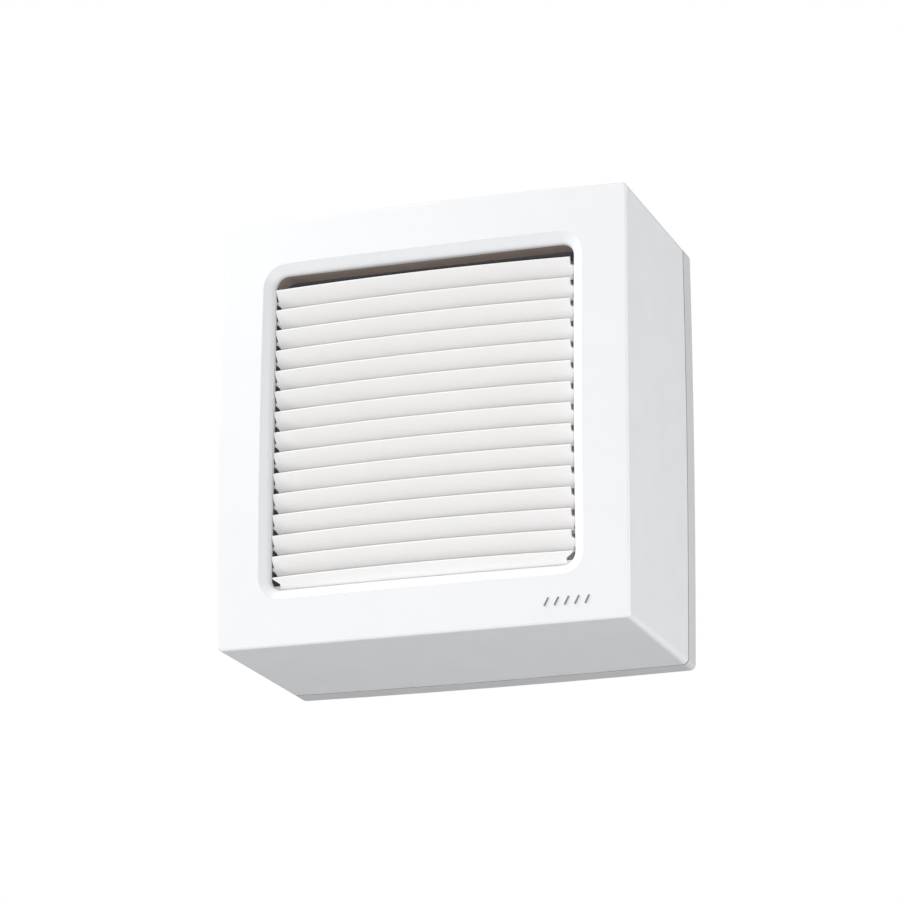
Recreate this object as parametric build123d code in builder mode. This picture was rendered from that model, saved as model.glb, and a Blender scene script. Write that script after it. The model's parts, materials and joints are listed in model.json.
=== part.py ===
from build123d import *
import os
from math import cos, hypot, radians, sin

# Heat recovery unit: a nearly square housing on the wall, with a louvred front, a reversing fan, a filter
# and a ceramic heat core that sits in the wall duct.
# Frame: +Z is up, the front faces -Y, the wall is the plane y = 0, and the origin is where the duct's axis
# meets the wall. All sizes are in millimetres. "Reach" is the distance in front of the wall.

# Housing
WIDTH = 250.0            # across the housing's corners
HEIGHT = 260.0
FRONT_REACH = 134.0      # the front face's corners
CORNER_RADIUS = 3.6      # at the seam
FRONT_CORNER_RADIUS = 2.6
SIDE_CROWN = 1.0         # each side bows outwards by this much at its middle
DOME_RADIUS = 2250.0     # the front face is part of a large sphere
BASE_REACH = 17.0        # front edge of the rear housing
SEAM = 1.2               # gap between the rear housing and the cover
SEAL_INSET = 0.12        # the foam strip in the seam is set back from the outline
COVER_WALL = 2.5
PLATE = 3.0              # back plate of the rear housing
REAR_EDGE_RADIUS = 3.0
FRONT_EDGE_RADIUS = 1.2
UPSTAND_REACH = 28.0     # the rear housing's inner rim, which the cover slips over
COVER_PLAY = 0.4

# Recess in the cover
LIP_HALF_WIDTH = 92.75   # inner lip, where the slope ends
LIP_HALF_HEIGHT = 96.5
LIP_RADIUS = 7.75
SLOPE_WIDTH = 6.3
SLOPE_DEPTH = 3.1
INNER_LIP_RADIUS = 3.0
GROOVE_WIDTH = 0.22      # fine groove round the slope's outer edge
GROOVE_DEPTH = 0.25
LIP_REAR = 131.6         # reach of the lip's back face
HOOD_REAR = 118.3        # back end of the hood over the top blade
HOOD_WALL = 1.6
HOOD_BOTTOM_Z = 89.0
HOOD_SEAL = 1.5          # foam strip behind the top blade, from the hood down
HOOD_SEAL_BOTTOM_Z = 91.5
RIM_WALL = 3.0           # plastic left behind the slope
RIM_FLARE = 16.0         # how much wider the rim's back is at the dome's peak

# Louvre
BLADE_COUNT = 15
BLADE_PITCH = 12.61
BLADE_LEFT = -92.2       # ends of the blades
BLADE_RIGHT = 90.4       # outer face of the crank arms
BLADE_EAR = 92.2         # right end of the ear between the front notch and the link bar
EAR_FRONT = 3.2          # along the chord, in front of the pivot
EAR_REAR = -1.4
END_TAPER = 1.3          # the blade's left end slopes inwards by this much to its rear edge
BLADE_CHORD = 13.0
BLADE_THICKNESS = 1.4
BLADE_CAMBER = 1.1
BLADE_BOW = 1.55         # the blade arches towards its front edge over its length
BLADE_TILT = 40.0        # from vertical, upper edge forward
FRONT_EDGE_REACH = 133.5        # front edge of a blade as the louvre stands
TOP_BLADE_Z = 87.4              # height of the top blade's front edge
PIVOT_ALONG = 8.0        # from the front edge to the pivot, along the chord
PIVOT_BEHIND = 0.8       # pivot behind the chord line
LAST_BLADE_FRONT = 91.4  # the lowest blade's ends are cut back, to clear the lip's round corners
LAST_BLADE_NOTCH = 87.2
LAST_BLADE_END = 89.5
PIVOT_PIN_RADIUS = 1.25
RUNNING_PLAY = 0.05
BLADE_BOSS_RADIUS = 2.4
BLADE_BOSS = 1.2         # thickness of the end bosses and crank arms
CRANK_LENGTH = 6.0
CRANK_SET = 3.0          # the cranks point back and this many degrees down
LINK_GAP = 0.4
LINK_THICKNESS = 1.4
LINK_WIDTH = 5.0
RAIL_THICKNESS = 3.0
LEFT_RAIL_X = -93.5      # inner faces of the rails
RIGHT_RAIL_X = 94.0
RAIL_REACH = 130.9
RAIL_TOP_Z = 86.5
FRAME_REACH = 115.5      # back face of the louvre frame
FRAME_PLATE = 2.0
FRAME_TOP_Z = 104.0
FRAME_BOTTOM_Z = -119.0
ACTUATOR_SHAFT_RADIUS = 2.0

# Duct sleeve, heat core
SLEEVE_RADIUS = 76.0
SLEEVE_WALL = 2.5
SLEEVE_SEAT_RADIUS = 75.0        # turned down in front of the wall, for the flanged collar
SLEEVE_SHOULDER = 1.0    # the turned part starts this far behind the wall
SLEEVE_LENGTH = 120.0    # behind the wall
SLEEVE_REACH = 40.0      # in front of the wall
COLLAR_RADIUS = 77.5
FLANGE_RADIUS = 88.0
FLANGE = 2.5
CORE_RADIUS = 72.0
CORE_START = 2.0         # behind the wall
CORE_LENGTH = 102.0
CELL_PITCH = 8.5
CELL = 6.9

# Fan
BULKHEAD_REACH = 92.0
BULKHEAD = 3.0
BULKHEAD_HALF_WIDTH = 114.0
BULKHEAD_HALF_HEIGHT = 118.0
SHROUD_RADIUS = 73.0
SHROUD_WALL = 3.0
SHROUD_REAR = 30.0
SHROUD_FLANGE_RADIUS = 84.0
SHROUD_FLANGE = 3.0
MOTOR_RADIUS = 25.0
MOTOR_REAR = 38.0
MOTOR_LENGTH = 22.0
BEARING_RADIUS = 8.0
BEARING_WIDTH = 5.0
SHAFT_RADIUS = 2.5
HUB_RADIUS = 28.0
HUB_REAR = 62.0
HUB_LENGTH = 24.0
FAN_TIP_RADIUS = 68.5
FAN_BLADES = 7
GUARD = 2.0

# Air box and filter
BOX_HALF_WIDTH = 98.0
BOX_HALF_HEIGHT = 108.0
BOX_WALL = 2.0
FILTER_REAR = 102.4
FILTER_DEPTH = 12.0
FILTER_BORDER = 7.5

# Fixings
WALL_HOLE_RADIUS = 2.75
WALL_HOLES_X = 210.0     # spacing of the wall screw holes
WALL_HOLES_Z = 180.0
PILLAR_X = 109.0
PILLAR_Z = 112.0
PILLAR_RADIUS = 5.0
GUIDE_WIDTH = 10.0       # guide ribs inside the cover
GUIDE_X = 60.0

# Control gear at the bottom of the housing
BOARD_REACH = 14.0
BOARD_X = 22.0
BOARD_Z = -103.0
BOARD_WIDTH = 130.0
BOARD_HEIGHT = 36.0
CABLE_X = -100.0
CABLE_Z = -62.0
CABLE_HOLE_RADIUS = 8.0
CABLE_RADIUS = 4.2

os.makedirs("parts", exist_ok=True)


def save(part, name):
    """Label a finished piece and write it to its own file."""
    part.label = name
    export_step(part, "parts/" + name + ".step")


def facing(reach):
    """Plane parallel to the wall, its normal pointing into the room."""
    return Plane.XZ.offset(reach)


def sideways(x):
    """Plane square to X, drawn in (Y, Z)."""
    return Plane.YZ.offset(x)


def housing_outline(inset, corner_radius=CORNER_RADIUS):
    """The housing's outline with crowned sides, moved inwards by inset."""
    half_w = WIDTH / 2 - inset
    half_h = HEIGHT / 2 - inset
    with BuildSketch() as outline:
        with BuildLine():
            ThreePointArc((-half_w, -half_h), (0, -half_h - SIDE_CROWN), (half_w, -half_h))
            ThreePointArc((half_w, -half_h), (half_w + SIDE_CROWN, 0), (half_w, half_h))
            ThreePointArc((half_w, half_h), (0, half_h + SIDE_CROWN), (-half_w, half_h))
            ThreePointArc((-half_w, half_h), (-half_w - SIDE_CROWN, 0), (-half_w, -half_h))
        make_face()
        fillet(outline.vertices(), max(corner_radius - inset, 1.0))
    return outline.sketch


def screw_group(name, reach, spots, head_radius, head, shank_radius, shank):
    """Pan-head screws seen from the room: heads at the given reach, shanks running back."""
    with BuildPart() as screws:
        with BuildSketch(facing(reach)):
            with Locations(*spots):
                Circle(head_radius)
        extrude(amount=head)
        fillet(screws.faces().sort_by(Axis.Y)[0:len(spots)].edges(), head * 0.45)
        with BuildSketch(facing(reach)):
            with Locations(*spots):
                Circle(shank_radius)
        extrude(amount=-shank)
        with BuildSketch(facing(reach + head)):
            with Locations(*spots):
                Rectangle(head_radius * 1.1, head_radius * 0.28)
                Rectangle(head_radius * 0.28, head_radius * 1.1)
        extrude(amount=-head * 0.6, mode=Mode.SUBTRACT)
    save(screws.part, name)


# ---------------------------------------------------------------- housing

OUTLINE = housing_outline(0)
COVER_FRONT = housing_outline(0, FRONT_CORNER_RADIUS)
COVER_INSIDE = housing_outline(COVER_WALL)
UPSTAND_INSET = COVER_WALL + COVER_PLAY
UPSTAND_WALL = 2.0
UPSTAND_OUTSIDE = housing_outline(UPSTAND_INSET)
UPSTAND_INSIDE = housing_outline(UPSTAND_INSET + UPSTAND_WALL)
SEAL_OUTSIDE = housing_outline(SEAL_INSET)

DOME_RISE = ((WIDTH / 2) ** 2 + (HEIGHT / 2) ** 2) / (2 * DOME_RADIUS)
DOME_PEAK = FRONT_REACH + DOME_RISE
DOME_CENTRE = (0, DOME_RADIUS - DOME_PEAK, 0)
COVER_REAR = BASE_REACH + SEAM
GUIDES = [(GUIDE_X, HEIGHT / 2), (-GUIDE_X, HEIGHT / 2), (GUIDE_X, -HEIGHT / 2), (-GUIDE_X, -HEIGHT / 2)]

# Hollow of the cover. The rim behind the recess stays solid, and its back follows the slope.
with BuildPart() as cover_hollow:
    with BuildSketch(facing(COVER_REAR - 1)):
        add(COVER_INSIDE)
    extrude(amount=DOME_PEAK - COVER_REAR)
    with Locations(DOME_CENTRE):
        Sphere(DOME_RADIUS - COVER_WALL, mode=Mode.INTERSECT)
    with BuildSketch(facing(LIP_REAR)):
        RectangleRounded(2 * (LIP_HALF_WIDTH + RIM_WALL), 2 * (LIP_HALF_HEIGHT + RIM_WALL), LIP_RADIUS + RIM_WALL)
    with BuildSketch(facing(DOME_PEAK)):
        RectangleRounded(
            2 * (LIP_HALF_WIDTH + RIM_WALL + RIM_FLARE),
            2 * (LIP_HALF_HEIGHT + RIM_WALL + RIM_FLARE),
            LIP_RADIUS + RIM_WALL + RIM_FLARE,
        )
    loft(mode=Mode.SUBTRACT)

GROOVE_INNER = SLOPE_WIDTH - 0.05
GROOVE_OUTER = SLOPE_WIDTH + GROOVE_WIDTH
with BuildPart() as slope_groove:
    with BuildSketch(facing(FRONT_REACH - 2)):
        RectangleRounded(
            2 * (LIP_HALF_WIDTH + GROOVE_OUTER),
            2 * (LIP_HALF_HEIGHT + GROOVE_OUTER),
            LIP_RADIUS + GROOVE_OUTER,
        )
        RectangleRounded(
            2 * (LIP_HALF_WIDTH + GROOVE_INNER),
            2 * (LIP_HALF_HEIGHT + GROOVE_INNER),
            LIP_RADIUS + GROOVE_INNER,
            mode=Mode.SUBTRACT,
        )
    extrude(amount=12)
    with Locations(DOME_CENTRE):
        Sphere(DOME_RADIUS - GROOVE_DEPTH, mode=Mode.SUBTRACT)

with BuildPart() as front_cover:
    with BuildSketch(facing(COVER_REAR)):
        add(OUTLINE)
    with BuildSketch(facing(DOME_PEAK)):
        add(COVER_FRONT)
    loft()
    with Locations(DOME_CENTRE):
        Sphere(DOME_RADIUS, mode=Mode.INTERSECT)
    dome = front_cover.faces().sort_by(Axis.Y)[0]
    fillet(dome.edges(), FRONT_EDGE_RADIUS)
    add(cover_hollow.part, mode=Mode.SUBTRACT)
    with BuildSketch(facing(LIP_REAR - 1)):
        RectangleRounded(2 * LIP_HALF_WIDTH, 2 * LIP_HALF_HEIGHT, LIP_RADIUS)
    extrude(amount=20, mode=Mode.SUBTRACT)
    dome = front_cover.faces().filter_by(GeomType.SPHERE).sort_by(Axis.Y)[0]
    lip = dome.inner_wires()[0].edges()
    chamfer(lip, length=SLOPE_WIDTH, length2=SLOPE_DEPTH, reference=dome)
    throat = front_cover.faces().filter_by(lambda face: abs(face.normal_at().Y) < 0.01)
    throat = throat.filter_by(lambda face: abs(face.center().X) < LIP_HALF_WIDTH + 1)
    throat = throat.filter_by(lambda face: abs(face.center().Z) < LIP_HALF_HEIGHT + 1)
    throat = throat.filter_by(lambda face: face.center().Y < -LIP_REAR)
    throat_edges = ShapeList([face.edges().sort_by(Axis.Y)[0] for face in throat])
    fillet(throat_edges, INNER_LIP_RADIUS)
    add(slope_groove.part, mode=Mode.SUBTRACT)
    # guide ribs that run in the rear housing's slots
    with BuildSketch(facing(COVER_REAR + 1)):
        with Locations(*GUIDES):
            Rectangle(GUIDE_WIDTH, 2 * (COVER_WALL + COVER_PLAY + 1.6))
        add(OUTLINE, mode=Mode.INTERSECT)
    extrude(amount=44)
save(front_cover.part, "front_cover")

# Dark hood over the top blade, fixed behind the lip.
with BuildPart() as louvre_hood:
    with BuildSketch(facing(HOOD_REAR)):
        RectangleRounded(
            2 * (LIP_HALF_WIDTH + HOOD_WALL),
            2 * (LIP_HALF_HEIGHT + HOOD_WALL),
            LIP_RADIUS + HOOD_WALL,
        )
        RectangleRounded(2 * LIP_HALF_WIDTH, 2 * LIP_HALF_HEIGHT, LIP_RADIUS, mode=Mode.SUBTRACT)
        with Locations((0, HOOD_BOTTOM_Z - HEIGHT / 2)):
            Rectangle(WIDTH, HEIGHT, mode=Mode.SUBTRACT)
    extrude(amount=LIP_REAR - HOOD_REAR)
save(louvre_hood.part, "louvre_hood")

with BuildPart() as hood_seal:
    with BuildSketch(facing(HOOD_REAR)):
        RectangleRounded(2 * LIP_HALF_WIDTH, 2 * LIP_HALF_HEIGHT, LIP_RADIUS)
        with Locations((0, HOOD_SEAL_BOTTOM_Z - HEIGHT / 2)):
            Rectangle(WIDTH, HEIGHT, mode=Mode.SUBTRACT)
    extrude(amount=HOOD_SEAL)
save(hood_seal.part, "hood_seal")

# A small generic mark: five slanted bars, on the cover's lower right.
MARK_X = 88.5
MARK_Z = -118.0
MARK_BARS = 5
MARK_PITCH = 6.0
MARK_BAR_LENGTH = 5.6
MARK_BAR_WIDTH = 1.0
MARK_SLANT = 62.0
MARK_HEIGHT = 0.25
mark_reach = DOME_PEAK - (MARK_X**2 + MARK_Z**2) / (2 * DOME_RADIUS)
mark_normal = (MARK_X, -DOME_RADIUS, MARK_Z)
mark_plane = Plane(origin=(MARK_X, -mark_reach, MARK_Z), x_dir=(DOME_RADIUS, MARK_X, 0), z_dir=mark_normal)
with BuildPart() as airflow_mark:
    with BuildSketch(mark_plane.offset(0.02)):
        with GridLocations(MARK_PITCH, 0, MARK_BARS, 1):
            SlotOverall(MARK_BAR_LENGTH, MARK_BAR_WIDTH, rotation=MARK_SLANT)
    extrude(amount=MARK_HEIGHT)
save(airflow_mark.part, "airflow_mark")

# ---------------------------------------------------------------- rear housing

PILLARS = [(x, z) for x in (-PILLAR_X, PILLAR_X) for z in (-PILLAR_Z, PILLAR_Z)]
GASKET_INNER = 80.0
GASKET_OUTER = 92.0
GASKET_DEPTH = 1.8
FLANGE_SCREW_RADIUS = 1.4
FLANGE_SCREWS = [(83.0 * cos(radians(a)), 83.0 * sin(radians(a))) for a in (45, 135, 225, 315)]
BOARD_POSTS = [
    (BOARD_X + sx * (BOARD_WIDTH / 2 - 5), BOARD_Z + sz * (BOARD_HEIGHT / 2 - 5)) for sx in (-1, 1) for sz in (-1, 1)
]

with BuildPart() as rear_housing:
    with BuildSketch(facing(0)):
        add(OUTLINE)
    extrude(amount=BASE_REACH)
    fillet(rear_housing.faces().sort_by(Axis.Y)[-1].edges(), REAR_EDGE_RADIUS)
    with BuildSketch(facing(PLATE)):
        add(UPSTAND_INSIDE)
    extrude(amount=BASE_REACH, mode=Mode.SUBTRACT)
    with BuildSketch(facing(PLATE)):
        add(UPSTAND_OUTSIDE)
        add(UPSTAND_INSIDE, mode=Mode.SUBTRACT)
    extrude(amount=UPSTAND_REACH - PLATE)
    with BuildSketch(facing(COVER_REAR)):
        with Locations(*GUIDES):
            Rectangle(GUIDE_WIDTH + 1.0, 20)
    extrude(amount=UPSTAND_REACH, mode=Mode.SUBTRACT)
    with BuildSketch(facing(0)):
        Circle(COLLAR_RADIUS)
        with Locations((CABLE_X, CABLE_Z)):
            Circle(CABLE_HOLE_RADIUS)
        with GridLocations(WALL_HOLES_X, WALL_HOLES_Z, 2, 2):
            Circle(WALL_HOLE_RADIUS)
        with Locations(*FLANGE_SCREWS):
            Circle(FLANGE_SCREW_RADIUS)
    extrude(amount=PLATE, mode=Mode.SUBTRACT)
    with BuildSketch(facing(0)):
        Circle(GASKET_OUTER)
        Circle(GASKET_INNER, mode=Mode.SUBTRACT)
    extrude(amount=GASKET_DEPTH, mode=Mode.SUBTRACT)
save(rear_housing.part, "rear_housing")


def spacers(name, spots, radius, front, bore_radius, bore):
    """Round spacers standing on the back plate, each with a screw hole in its front end."""
    with BuildPart() as group:
        with BuildSketch(facing(PLATE)):
            with Locations(*spots):
                Circle(radius)
        extrude(amount=front - PLATE)
        with BuildSketch(facing(front)):
            with Locations(*spots):
                Circle(bore_radius)
        extrude(amount=-bore, mode=Mode.SUBTRACT)
    save(group.part, name)


spacers("bulkhead_pillars", PILLARS, PILLAR_RADIUS, BULKHEAD_REACH, 1.6, 14)
spacers("board_posts", BOARD_POSTS, 3, BOARD_REACH, 1.1, 7)

# Foam strip round the foot of the upstand, which closes the seam behind the cover.
with BuildPart() as cover_seal:
    with BuildSketch(facing(BASE_REACH)):
        add(SEAL_OUTSIDE)
        add(UPSTAND_OUTSIDE, mode=Mode.SUBTRACT)
    extrude(amount=SEAM - 0.15)
save(cover_seal.part, "cover_seal")

with BuildPart() as wall_gasket:
    with BuildSketch(facing(0)):
        Circle(GASKET_OUTER - 0.2)
        Circle(GASKET_INNER + 0.2, mode=Mode.SUBTRACT)
    extrude(amount=GASKET_DEPTH)
save(wall_gasket.part, "wall_gasket")

with BuildPart() as cable_grommet:
    with BuildSketch(facing(0.2)):
        Circle(CABLE_HOLE_RADIUS - 0.1)
    extrude(amount=PLATE)
    with BuildSketch(facing(PLATE)):
        Circle(CABLE_HOLE_RADIUS + 2.5)
    extrude(amount=3)
    fillet(cable_grommet.faces().sort_by(Axis.Y)[0].edges(), 1.2)
    with BuildSketch(facing(0)):
        Circle(CABLE_RADIUS)
    extrude(amount=20, mode=Mode.SUBTRACT)
grommet_at = Location((CABLE_X, 0, CABLE_Z))
save(cable_grommet.part.moved(grommet_at), "cable_grommet")

# ---------------------------------------------------------------- duct sleeve and heat core

SLEEVE_INNER = SLEEVE_RADIUS - SLEEVE_WALL

with BuildPart() as duct_sleeve:
    with BuildSketch(facing(-SLEEVE_LENGTH)):
        Circle(SLEEVE_RADIUS)
    extrude(amount=SLEEVE_LENGTH - SLEEVE_SHOULDER)
    with BuildSketch(facing(-SLEEVE_SHOULDER)):
        Circle(SLEEVE_SEAT_RADIUS)
    extrude(amount=SLEEVE_SHOULDER + SLEEVE_REACH)
    with BuildSketch(facing(-SLEEVE_LENGTH)):
        Circle(SLEEVE_INNER)
    extrude(amount=SLEEVE_LENGTH + SLEEVE_REACH, mode=Mode.SUBTRACT)
    chamfer(duct_sleeve.faces().sort_by(Axis.Y)[-1].edges(), 0.6)
save(duct_sleeve.part, "duct_sleeve")

# Flanged collar that is bonded round the sleeve and screwed to the back plate.
with BuildPart() as sleeve_flange:
    with BuildSketch(facing(0)):
        Circle(COLLAR_RADIUS)
    extrude(amount=PLATE)
    with BuildSketch(facing(PLATE)):
        Circle(FLANGE_RADIUS)
        with Locations(*FLANGE_SCREWS):
            Circle(1.7, mode=Mode.SUBTRACT)
    extrude(amount=FLANGE)
    with BuildSketch(facing(0)):
        Circle(SLEEVE_SEAT_RADIUS)
    extrude(amount=PLATE + FLANGE, mode=Mode.SUBTRACT)
save(sleeve_flange.part, "sleeve_flange")
screw_group("sleeve_screws", PLATE + FLANGE, FLANGE_SCREWS, 3.0, 1.8, FLANGE_SCREW_RADIUS, 3.5)

half_cell = CELL / 2
cells = [
    (i * CELL_PITCH, j * CELL_PITCH)
    for i in range(-8, 9)
    for j in range(-8, 9)
    if hypot(abs(i) * CELL_PITCH + half_cell, abs(j) * CELL_PITCH + half_cell) < CORE_RADIUS - 2
    and hypot(i, j) > 1.5
]
with BuildPart() as heat_core:
    with BuildSketch(facing(-CORE_START)):
        Circle(CORE_RADIUS)
        with Locations(*cells):
            Rectangle(CELL, CELL, mode=Mode.SUBTRACT)
    extrude(amount=-CORE_LENGTH)
save(heat_core.part, "heat_core")

# Foam seals round both ends of the core, in the gap to the sleeve.
with BuildPart() as core_seals:
    for start in (CORE_START + 4, CORE_START + CORE_LENGTH - 12):
        with BuildSketch(facing(-start)):
            Circle(SLEEVE_INNER)
            Circle(CORE_RADIUS, mode=Mode.SUBTRACT)
        extrude(amount=-8)
save(core_seals.part, "core_seals")

with BuildPart() as core_knob:
    with BuildSketch(facing(-CORE_START)):
        Circle(10)
    extrude(amount=3)
    with BuildSketch(facing(-CORE_START + 3)):
        Circle(4)
    extrude(amount=7)
    with BuildSketch(facing(-CORE_START + 10)):
        RectangleRounded(34, 12, 5.5)
    extrude(amount=5)
    fillet(core_knob.faces().sort_by(Axis.Y)[0].edges(), 1.5)
save(core_knob.part, "core_knob")

# ---------------------------------------------------------------- bulkhead and air box

FAN_SCREW_RADIUS = 1.4
FAN_SCREWS = [(79.5 * cos(radians(a)), 79.5 * sin(radians(a))) for a in (45, 135, 225, 315)]
with BuildPart() as bulkhead:
    with BuildSketch(facing(BULKHEAD_REACH)):
        RectangleRounded(2 * BULKHEAD_HALF_WIDTH, 2 * BULKHEAD_HALF_HEIGHT, 6)
        Circle(SHROUD_RADIUS + 0.3, mode=Mode.SUBTRACT)
        with Locations(*PILLARS):
            Circle(2.0, mode=Mode.SUBTRACT)
        with Locations(*FAN_SCREWS):
            Circle(FAN_SCREW_RADIUS, mode=Mode.SUBTRACT)
    extrude(amount=BULKHEAD)
    with BuildSketch(facing(BULKHEAD_REACH + BULKHEAD)):
        RectangleRounded(2 * BOX_HALF_WIDTH, 2 * BOX_HALF_HEIGHT, 5)
        RectangleRounded(2 * (BOX_HALF_WIDTH - BOX_WALL), 2 * (BOX_HALF_HEIGHT - BOX_WALL), 3, mode=Mode.SUBTRACT)
    extrude(amount=FRAME_REACH - BULKHEAD_REACH - BULKHEAD)
    # ledge that the filter frame rests on
    with BuildSketch(facing(FILTER_REAR - 3)):
        RectangleRounded(2 * (BOX_HALF_WIDTH - 1), 2 * (BOX_HALF_HEIGHT - 1), 4)
        RectangleRounded(2 * (BOX_HALF_WIDTH - 6), 2 * (BOX_HALF_HEIGHT - 6), 3, mode=Mode.SUBTRACT)
    extrude(amount=3)
save(bulkhead.part, "bulkhead")
screw_group("bulkhead_screws", BULKHEAD_REACH + BULKHEAD, PILLARS, 3.6, 2.4, 1.5, 14)

# ---------------------------------------------------------------- fan

SHROUD_FRONT = BULKHEAD_REACH + BULKHEAD
STRUT_INNER = MOTOR_RADIUS + 2
MOUNT_RIM_RADIUS = SHROUD_RADIUS - SHROUD_WALL - RUNNING_PLAY
MOUNT_RIM_WALL = 2.0
STRUT_OUTER = MOUNT_RIM_RADIUS - MOUNT_RIM_WALL / 2

with BuildPart() as fan_shroud:
    with BuildSketch(facing(SHROUD_REAR)):
        Circle(SHROUD_RADIUS)
        Circle(SHROUD_RADIUS - SHROUD_WALL, mode=Mode.SUBTRACT)
    extrude(amount=SHROUD_FRONT - SHROUD_REAR + SHROUD_FLANGE)
save(fan_shroud.part, "fan_shroud")

with BuildPart() as shroud_flange:
    with BuildSketch(facing(SHROUD_FRONT)):
        Circle(SHROUD_FLANGE_RADIUS)
        Circle(SHROUD_RADIUS, mode=Mode.SUBTRACT)
        with Locations(*FAN_SCREWS):
            Circle(1.5, mode=Mode.SUBTRACT)
    extrude(amount=SHROUD_FLANGE)
save(shroud_flange.part, "shroud_flange")

# Spider that carries the motor: a rim pushed into the shroud's rear end, five struts and a cup.
with BuildPart() as motor_mount:
    with BuildSketch(facing(SHROUD_REAR)):
        Circle(SHROUD_RADIUS)
        Circle(MOUNT_RIM_RADIUS - MOUNT_RIM_WALL, mode=Mode.SUBTRACT)
    extrude(amount=-2)
    with BuildSketch(facing(SHROUD_REAR)):
        Circle(MOUNT_RIM_RADIUS)
        Circle(MOUNT_RIM_RADIUS - MOUNT_RIM_WALL, mode=Mode.SUBTRACT)
    extrude(amount=MOTOR_REAR + 12 - SHROUD_REAR)
    with BuildSketch(facing(MOTOR_REAR)):
        Circle(MOTOR_RADIUS + 2.5)
        Circle(MOTOR_RADIUS, mode=Mode.SUBTRACT)
    extrude(amount=MOTOR_LENGTH - 4)
    with BuildSketch(facing(MOTOR_REAR - 2)):
        Circle(MOTOR_RADIUS + 2.5)
        Circle(BEARING_RADIUS - 2, mode=Mode.SUBTRACT)
    extrude(amount=2)
    with BuildSketch(facing(MOTOR_REAR - 2)):
        with PolarLocations((STRUT_INNER + STRUT_OUTER) / 2, 5):
            Rectangle(STRUT_OUTER - STRUT_INNER, 3)
    extrude(amount=14)
save(motor_mount.part, "motor_mount")

MOTOR_FRONT = MOTOR_REAR + MOTOR_LENGTH
with BuildPart() as motor_body:
    with BuildSketch(facing(MOTOR_REAR)):
        Circle(MOTOR_RADIUS)
        Circle(4, mode=Mode.SUBTRACT)
    extrude(amount=MOTOR_LENGTH)
    fillet(motor_body.faces().sort_by(Axis.Y)[0].outer_wire().edges(), 2)
    with BuildSketch(facing(MOTOR_REAR)):
        Circle(BEARING_RADIUS)
    extrude(amount=BEARING_WIDTH, mode=Mode.SUBTRACT)
    with BuildSketch(facing(MOTOR_FRONT)):
        Circle(BEARING_RADIUS)
    extrude(amount=-BEARING_WIDTH, mode=Mode.SUBTRACT)
save(motor_body.part, "motor_body")


def bearing(name, rear):
    """A small ball bearing shown as one ring with a groove on each face."""
    with BuildPart() as ring:
        with BuildSketch(facing(rear)):
            Circle(BEARING_RADIUS)
            Circle(SHAFT_RADIUS + RUNNING_PLAY, mode=Mode.SUBTRACT)
        extrude(amount=BEARING_WIDTH)
        for face_reach, depth in ((rear, 0.6), (rear + BEARING_WIDTH, -0.6)):
            with BuildSketch(facing(face_reach)):
                Circle(BEARING_RADIUS - 1.6)
                Circle(SHAFT_RADIUS + 1.6, mode=Mode.SUBTRACT)
            extrude(amount=depth, mode=Mode.SUBTRACT)
    save(ring.part, name)


bearing("bearing_rear", MOTOR_REAR)
bearing("bearing_front", MOTOR_FRONT - BEARING_WIDTH)

HUB_FRONT = HUB_REAR + HUB_LENGTH
with BuildPart() as fan_shaft:
    with BuildSketch(facing(MOTOR_REAR + 1)):
        Circle(SHAFT_RADIUS)
    extrude(amount=HUB_FRONT - MOTOR_REAR - 6)
    chamfer(fan_shaft.faces().sort_by(Axis.Y)[-1].edges(), 0.4)
save(fan_shaft.part, "fan_shaft")

# One fan blade, on the +X side: a cambered section that flattens and widens towards the tip.
FAN_SECTIONS = ((HUB_RADIUS - 2.0, 24.0, 48.0), (FAN_TIP_RADIUS + 4.0, 34.0, 24.0))
FAN_CAMBER = 0.09
blade_reach = HUB_REAR + HUB_LENGTH / 2 - 1
with BuildPart() as fan_blade:
    for radius, chord, angle in FAN_SECTIONS:
        section_plane = Plane(origin=(radius, -blade_reach, 0), x_dir=(0, 0, 1), z_dir=(1, 0, 0))
        with BuildSketch(section_plane.rotated((0, 0, angle))):
            with BuildLine(mode=Mode.PRIVATE) as camber_line:
                ThreePointArc((-chord / 2, 0), (0, chord * FAN_CAMBER), (chord / 2, 0))
            SlotArc(camber_line.wire(), 1.8)
    loft()
    with BuildSketch(facing(0)):
        Circle(FAN_TIP_RADIUS)
    extrude(amount=FRONT_REACH, mode=Mode.INTERSECT)
FAN_BLADE_RING = [Rot(0, turn * 360 / FAN_BLADES, 0) * fan_blade.part for turn in range(FAN_BLADES)]

with BuildPart() as fan_rotor:
    with BuildSketch(facing(HUB_REAR)):
        Circle(HUB_RADIUS)
    extrude(amount=HUB_LENGTH)
    add(FAN_BLADE_RING)
    fillet(fan_rotor.faces().filter_by(GeomType.PLANE).sort_by(Axis.Y)[0].edges(), 5)
    with BuildSketch(facing(HUB_REAR)):
        Circle(HUB_RADIUS - 2.5)
        Circle(7, mode=Mode.SUBTRACT)
    extrude(amount=HUB_LENGTH - 7, mode=Mode.SUBTRACT)
    with BuildSketch(facing(HUB_REAR)):
        Circle(SHAFT_RADIUS)
    extrude(amount=HUB_LENGTH - 5, mode=Mode.SUBTRACT)
save(fan_rotor.part, "fan_rotor")

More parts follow.
